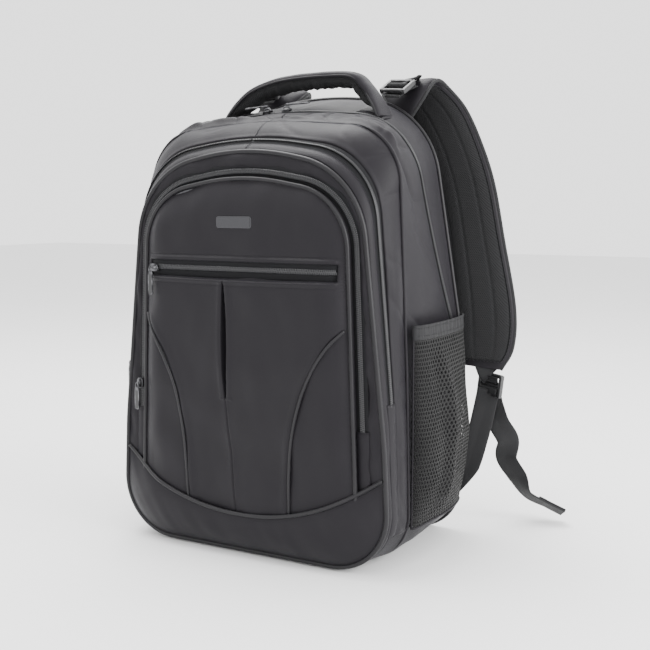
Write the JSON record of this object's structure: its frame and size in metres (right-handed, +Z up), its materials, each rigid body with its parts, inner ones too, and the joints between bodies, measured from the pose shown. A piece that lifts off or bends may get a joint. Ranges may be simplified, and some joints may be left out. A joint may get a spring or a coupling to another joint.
{
  "type": "school backpack",
  "caption": "Dark zipped school backpack with an arched front organiser, net side pockets, padded straps and a top handle.",
  "frame": {"origin": "on the floor, under the body of the bag, in its middle plane", "axes": "+Z up, +Y from the front of the bag to its back, +X to the right as seen from the front"},
  "size_m": [0.533, 0.2955, 0.5102],
  "materials": {
    "body_fabric": "tightly woven charcoal polyester with a satin sheen",
    "lining_fabric": "thin plain-woven grey polyester",
    "air_mesh": "black spacer mesh over foam",
    "pocket_mesh": "open black polyester net",
    "elastic": "gathered black elastic binding",
    "piping": "charcoal cord piping",
    "zipper_tape": "black coil zipper on woven tape",
    "slider_metal": "black enamelled zinc",
    "webbing": "black ribbed polyester webbing",
    "buckle_plastic": "moulded black acetal",
    "badge_metal": "blank gloss-black enamelled plate",
    "stiffener_plastic": "extruded polypropylene sheet"
  },
  "bodies": {
    "pack": {"base_panel": "body_fabric", "back_gusset": "body_fabric", "middle_gusset": "body_fabric", "front_border": "body_fabric", "organiser_gusset": "body_fabric", "front_panel": "body_fabric", "bottom_band": "body_fabric", "zipper_covers": "body_fabric", "side_panel_left": "body_fabric", "side_panel_right": "body_fabric", "handle_patches": "body_fabric", "anchor_tab_left": "body_fabric", "anchor_tab_right": "body_fabric", "divider_wall": "lining_fabric", "organiser_wall": "lining_fabric", "pen_pocket": "lining_fabric", "laptop_sleeve": "lining_fabric", "sleeve_strap": "lining_fabric", "back_panel": "air_mesh", "back_pads": "air_mesh", "mesh_pocket_left": "pocket_mesh", "mesh_pocket_right": "pocket_mesh", "pocket_hem_left": "elastic", "pocket_hem_right": "elastic", "outer_piping": "piping", "band_piping": "piping", "main_zipper": "zipper_tape", "middle_zipper": "zipper_tape", "organiser_zipper": "zipper_tape", "frame_sheet": "stiffener_plastic"},
    "main_mouth_lip": {"main_lip": "body_fabric"},
    "middle_mouth_lip": {"middle_lip": "body_fabric"},
    "organiser_flap": {"flap_panel": "lining_fabric", "flap_crown": "body_fabric", "pocket_panel": "body_fabric", "pocket_zipper": "zipper_tape", "flap_piping": "piping", "badge": "badge_metal"},
    "carry_handle": {"grab_handle": "body_fabric"},
    "strap_left": {"shoulder_strap_left": "air_mesh", "lower_webbing_left": "webbing", "lifter_webbing_left": "webbing"},
    "lower_lock_left": {"lower_buckle_left": "buckle_plastic"},
    "lifter_lock_left": {"lifter_buckle_left": "buckle_plastic"},
    "main_slide_left": {"main_slider_left": "slider_metal"},
    "main_tab_left": {"main_pull_left": "slider_metal"},
    "strap_right": {"shoulder_strap_right": "air_mesh", "lower_webbing_right": "webbing", "lifter_webbing_right": "webbing"},
    "lower_lock_right": {"lower_buckle_right": "buckle_plastic"},
    "lifter_lock_right": {"lifter_buckle_right": "buckle_plastic"},
    "main_slide_right": {"main_slider_right": "slider_metal"},
    "main_tab_right": {"main_pull_right": "slider_metal"},
    "middle_slide": {"middle_slider": "slider_metal"},
    "middle_tab": {"middle_pull": "slider_metal"},
    "organiser_slide": {"organiser_slider": "slider_metal"},
    "organiser_tab": {"organiser_pull": "slider_metal"},
    "pocket_slide": {"pocket_slider": "slider_metal"},
    "pocket_tab": {"pocket_pull": "slider_metal"}
  },
  "joints": [
    {"name": "main_mouth_open", "type": "hinge", "parent": "pack", "child": "main_mouth_lip", "pos_m": [0, -0.038, 0.4487], "axis": [1, 0, 0], "range_deg": [0, 45]},
    {"name": "middle_mouth_open", "type": "hinge", "parent": "pack", "child": "middle_mouth_lip", "pos_m": [0, -0.038, 0.4487], "axis": [-1, 0, 0], "range_deg": [0, 45]},
    {"name": "organiser_flap_open", "type": "hinge", "parent": "pack", "child": "organiser_flap", "pos_m": [0, -0.098, 0.15], "axis": [1, 0, 0], "range_deg": [0, 90]},
    {"name": "handle_swing", "type": "hinge", "parent": "pack", "child": "carry_handle", "pos_m": [0, 0.036, 0.463], "axis": [1, 0, 0], "range_deg": [-20, 12]},
    {"name": "strap_swing_left", "type": "hinge", "parent": "pack", "child": "strap_left", "pos_m": [-0.152, 0.11, 0.034], "axis": [-0.151, -0.0046, -0.9885], "range_deg": [-20, 40], "stiffness_Nm_per_rad": 0.4},
    {"name": "lower_lock_tilt_left", "type": "hinge", "parent": "strap_left", "child": "lower_lock_left", "pos_m": [-0.1872, 0.1346, 0.174], "axis": [0.9404, 0.3401, 0], "range_deg": [-20, 20]},
    {"name": "lifter_lock_tilt_left", "type": "hinge", "parent": "strap_left", "child": "lifter_lock_left", "pos_m": [-0.0858, 0.108, 0.5], "axis": [-1, 0, 0], "range_deg": [0, 30]},
    {"name": "strap_swing_right", "type": "hinge", "parent": "pack", "child": "strap_right", "pos_m": [0.152, 0.11, 0.034], "axis": [-0.151, 0.0046, 0.9885], "range_deg": [-20, 40], "stiffness_Nm_per_rad": 0.4},
    {"name": "lower_lock_tilt_right", "type": "hinge", "parent": "strap_right", "child": "lower_lock_right", "pos_m": [0.1872, 0.1346, 0.174], "axis": [0.9404, -0.3401, 0], "range_deg": [-20, 20]},
    {"name": "lifter_lock_tilt_right", "type": "hinge", "parent": "strap_right", "child": "lifter_lock_right", "pos_m": [0.0858, 0.108, 0.5], "axis": [-1, 0, 0], "range_deg": [0, 30]},
    {"name": "main_zip_left", "type": "hinge", "parent": "pack", "child": "main_slide_left", "pos_m": [0, 0.014, -0.01701], "axis": [0, 1, 0], "range_deg": [-3, 0]},
    {"name": "main_tab_lift_left", "type": "hinge", "parent": "main_slide_left", "child": "main_tab_left", "pos_m": [-0.03363, 0.014, 0.47118], "axis": [0, 0.963, 0.2694], "range_deg": [0, 150]},
    {"name": "main_zip_right", "type": "hinge", "parent": "pack", "child": "main_slide_right", "pos_m": [0, 0.014, -0.01701], "axis": [0, 1, 0], "range_deg": [0, 8.01]},
    {"name": "main_tab_lift_right", "type": "hinge", "parent": "main_slide_right", "child": "main_tab_right", "pos_m": [-0.00917, 0.014, 0.47225], "axis": [0, -0.9629, -0.27], "range_deg": [0, 150]},
    {"name": "middle_zip", "type": "slide", "parent": "pack", "child": "middle_slide", "axis": [0.0855, 0, 0.9963], "range_m": [0, 0.12]},
    {"name": "middle_tab_lift", "type": "hinge", "parent": "middle_slide", "child": "middle_tab", "pos_m": [-0.1654, -0.068, 0.19], "axis": [0, 1, 0], "range_deg": [0, 150]},
    {"name": "organiser_zip", "type": "slide", "parent": "pack", "child": "organiser_slide", "axis": [0.0396, 0, 0.9992], "range_m": [0, 0.12]},
    {"name": "organiser_tab_lift", "type": "hinge", "parent": "organiser_slide", "child": "organiser_tab", "pos_m": [-0.1336, -0.0964, 0.172], "axis": [-1, 0, 0], "range_deg": [0, 150]},
    {"name": "pocket_zip", "type": "slide", "parent": "organiser_flap", "child": "pocket_slide", "axis": [1, 0, 0], "range_m": [0, 0.2]},
    {"name": "pocket_tab_lift", "type": "hinge", "parent": "pocket_slide", "child": "pocket_tab", "pos_m": [-0.104, -0.1066, 0.299], "axis": [-1, 0, 0], "range_deg": [0, 150]}
  ]
}
